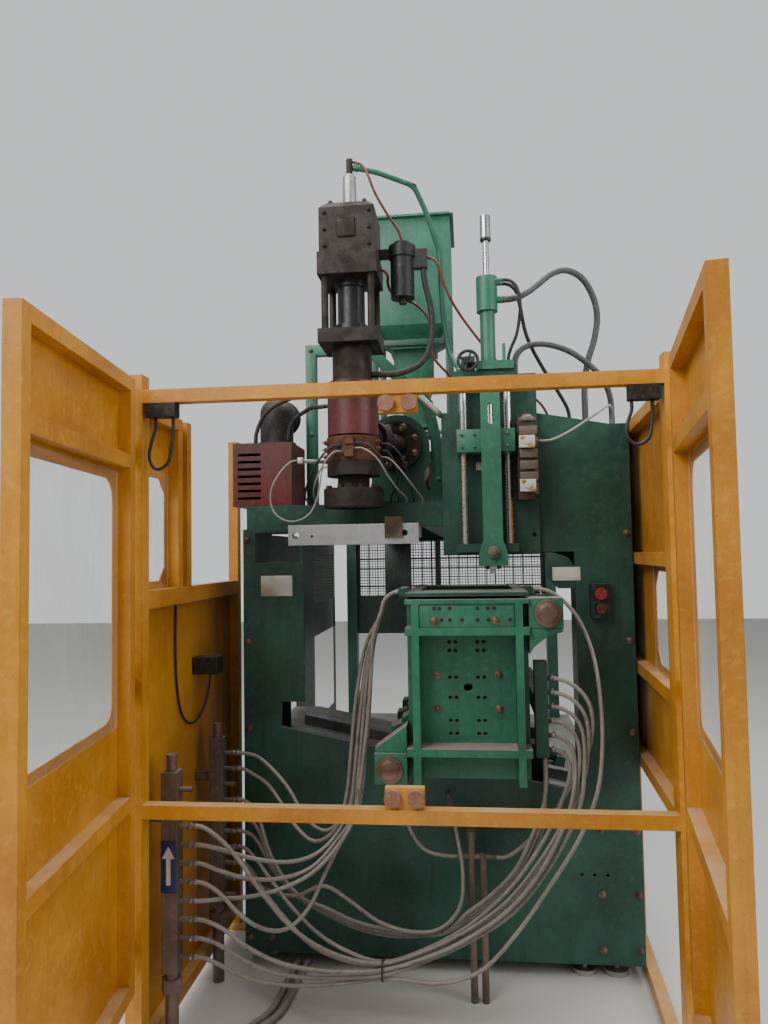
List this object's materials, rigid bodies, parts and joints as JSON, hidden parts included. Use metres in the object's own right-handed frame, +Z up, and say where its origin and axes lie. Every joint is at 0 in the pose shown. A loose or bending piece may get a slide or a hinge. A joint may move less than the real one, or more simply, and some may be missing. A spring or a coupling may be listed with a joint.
{
  "type": "shuttle blow moulding machine",
  "caption": "Extrusion blow moulding machine with an inclined shuttle clamp, parison head, blow station, pellet hopper and a doored safety guard.",
  "frame": {"origin": "on the floor at the middle of the machine's length and width", "axes": "+X to the operator's right, +Y away from the operator, +Z up"},
  "size_m": [1.7, 3.62, 3.31],
  "materials": {
    "green_paint": "dusty machine enamel",
    "light_green_paint": "dusty enamel",
    "clamp_green": "worn enamel",
    "guard_paint": "semi-gloss enamel",
    "dark_red_paint": "semi-gloss enamel",
    "blue_grey_paint": "enamel",
    "brown_paint": "dull enamel",
    "dull_brown": "dull primer",
    "pale_metal": "dull zinc",
    "dark_mesh": "dusty enamel",
    "worn_steel": "worn",
    "bright_steel": "ground",
    "brown_steel": "oily and stained",
    "burnt_steel": "burnt dark",
    "black_steel": "satin",
    "heater_band": "heat stained",
    "rusty_band": "rusty",
    "alloy": "milled",
    "black_plastic": "matt",
    "red_plastic": "worn gloss",
    "dark_red_plastic": "worn gloss",
    "black_rubber": "dusty rubber",
    "brown_rubber": "dusty rubber",
    "grey_hose": "dusty pale rubber",
    "clear_pane": "clear sheet with dust"
  },
  "bodies": {
    "frame": {"base_frame": "green_paint", "levelling_feet": "pale_metal", "front_plate": "green_paint", "left_column": "green_paint", "tower_frame": "green_paint", "extruder_deck": "green_paint", "rear_guard": "dark_mesh", "bed_rails": "worn_steel", "switch_box": "black_plastic", "extruder_barrel": "worn_steel", "barrel_heaters": "heater_band", "gearbox": "green_paint", "extruder_motor": "blue_grey_paint", "hopper": "light_green_paint", "melt_adapter": "burnt_steel", "head_body": "burnt_steel", "head_cover": "dark_red_paint", "band_heaters": "rusty_band", "die_flange": "burnt_steel", "head_yoke": "burnt_steel", "programming_cylinder": "black_steel", "actuator_block": "burnt_steel", "cutter_rail": "alloy", "blower_box": "dark_red_paint", "blower_duct": "black_rubber", "air_filter": "black_plastic", "blow_backplate": "green_paint", "blow_guides": "bright_steel", "blow_cylinder": "light_green_paint", "blow_valves": "brown_paint", "shift_cylinder": "green_paint", "guard_frame": "guard_paint", "left_wing": "guard_paint", "right_wing": "guard_paint", "wing_panes": "clear_pane", "door_buffers": "brown_rubber", "guard_switches": "black_plastic", "water_manifolds": "dull_brown", "clamp_hoses": "grey_hose", "fixed_hoses": "black_rubber"},
    "carriage": {"carriage_frame": "green_paint"},
    "front_clamp": {"front_platen": "clamp_green", "tie_bars": "brown_steel", "clamp_cylinder": "green_paint", "front_mould": "alloy"},
    "rear_clamp": {"rear_platen": "clamp_green", "rear_mould": "alloy"},
    "blow_head": {"blow_carrier": "light_green_paint", "blow_pin": "bright_steel"},
    "mandrel": {"mandrel_rod": "bright_steel"},
    "cutter": {"cutter_arm": "black_steel"},
    "gate": {"hopper_gate": "worn_steel"},
    "screw": {"extruder_screw": "worn_steel"},
    "wheel": {"handwheel": "black_plastic"},
    "stop": {"stop_button": "red_plastic"},
    "start": {"start_button": "dark_red_plastic"},
    "left_door": {"left_door": "guard_paint", "left_door_pane": "clear_pane"},
    "right_door": {"right_door": "guard_paint", "right_door_pane": "clear_pane"}
  },
  "joints": [
    {"name": "carriage_slide", "type": "slide", "parent": "frame", "child": "carriage", "axis": [-0.9799, 0, 0.1994], "range_m": [-0.096, 0.405], "deforming": ["clamp_hoses"]},
    {"name": "front_clamp_slide", "type": "slide", "parent": "carriage", "child": "front_clamp", "axis": [0, -1, 0], "range_m": [0, 0.14]},
    {"name": "rear_clamp_slide", "type": "slide", "parent": "carriage", "child": "rear_clamp", "axis": [0, 1, 0], "range_m": [0, 0.14]},
    {"name": "blow_pin_slide", "type": "slide", "parent": "frame", "child": "blow_head", "axis": [0, 0, -1], "range_m": [0, 0.13]},
    {"name": "mandrel_slide", "type": "slide", "parent": "frame", "child": "mandrel", "axis": [0, 0, -1], "range_m": [0, 0.03]},
    {"name": "cutter_slide", "type": "slide", "parent": "frame", "child": "cutter", "axis": [-1, 0, 0], "range_m": [0, 0.25]},
    {"name": "gate_slide", "type": "slide", "parent": "frame", "child": "gate", "axis": [-1, 0, 0], "range_m": [0, 0.09]},
    {"name": "screw_spin", "type": "hinge", "parent": "frame", "child": "screw", "pos_m": [-0.075, -0.19002, 1.93], "axis": [0, 1, 0], "continuous": true},
    {"name": "wheel_spin", "type": "hinge", "parent": "frame", "child": "wheel", "pos_m": [0.215, -0.49002, 2.173], "axis": [0, 1, 0], "continuous": true},
    {"name": "stop_press", "type": "slide", "parent": "frame", "child": "stop", "axis": [0, 1, 0], "range_m": [0, 0.006], "stiffness_N_per_m": 1200},
    {"name": "start_press", "type": "slide", "parent": "frame", "child": "start", "axis": [0, 1, 0], "range_m": [0, 0.006], "stiffness_N_per_m": 1200},
    {"name": "left_door_hinge", "type": "hinge", "parent": "frame", "child": "left_door", "pos_m": [-0.775, -1.07802, 0], "axis": [0, 0, 1], "range_deg": [-17, 83]},
    {"name": "right_door_hinge", "type": "hinge", "parent": "frame", "child": "right_door", "pos_m": [0.775, -1.07802, 0], "axis": [0, 0, 1], "range_deg": [-81, 17]}
  ],
  "couplings": [
    {"joint": "rear_clamp_slide", "follows": "front_clamp_slide", "ratio": 1}
  ]
}
